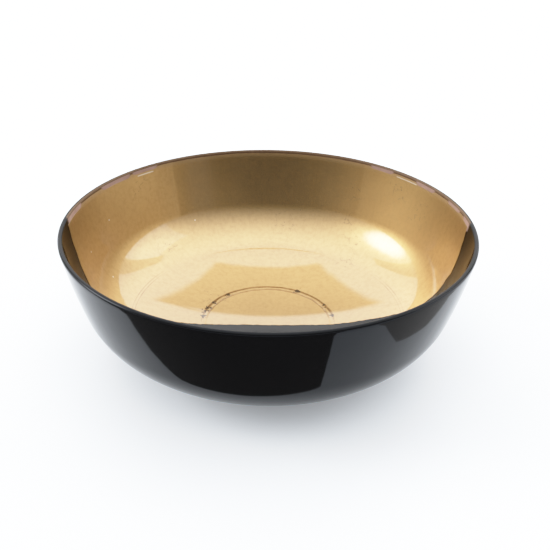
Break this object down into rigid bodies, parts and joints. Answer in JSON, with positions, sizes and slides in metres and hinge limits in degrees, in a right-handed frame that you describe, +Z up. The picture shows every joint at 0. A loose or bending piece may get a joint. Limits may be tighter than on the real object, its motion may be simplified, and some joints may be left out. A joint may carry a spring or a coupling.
{
  "type": "bowl",
  "caption": "Wide shallow round bowl with a glossy black lacquered body, gold leaf over one half of its inside, and a low turned foot, for serving or display.",
  "frame": {"origin": "on the resting surface, under the centre of the bowl", "axes": "+Z up along the bowl's axis; +Y towards the middle of the gilded half; +X to the right when the gilded half is at the back"},
  "size_m": [0.28, 0.28, 0.0941],
  "materials": {
    "turned_wood": "plain turned wood, sealed under lacquer",
    "foot_lacquer": "satin black lacquer on wood",
    "black_lacquer": "polished black lacquer",
    "gold_leaf": "gold-coloured leaf under clear gloss varnish, slightly worn"
  },
  "bodies": {
    "root": {"bowl_shell": "turned_wood", "foot_base": "foot_lacquer", "outer_lacquer": "black_lacquer", "inner_lacquer": "black_lacquer", "leaf_wall_left": "gold_leaf", "leaf_wall_back": "gold_leaf", "leaf_wall_right": "gold_leaf", "leaf_floor": "gold_leaf", "leaf_centre": "gold_leaf"}
  },
  "joints": []
}
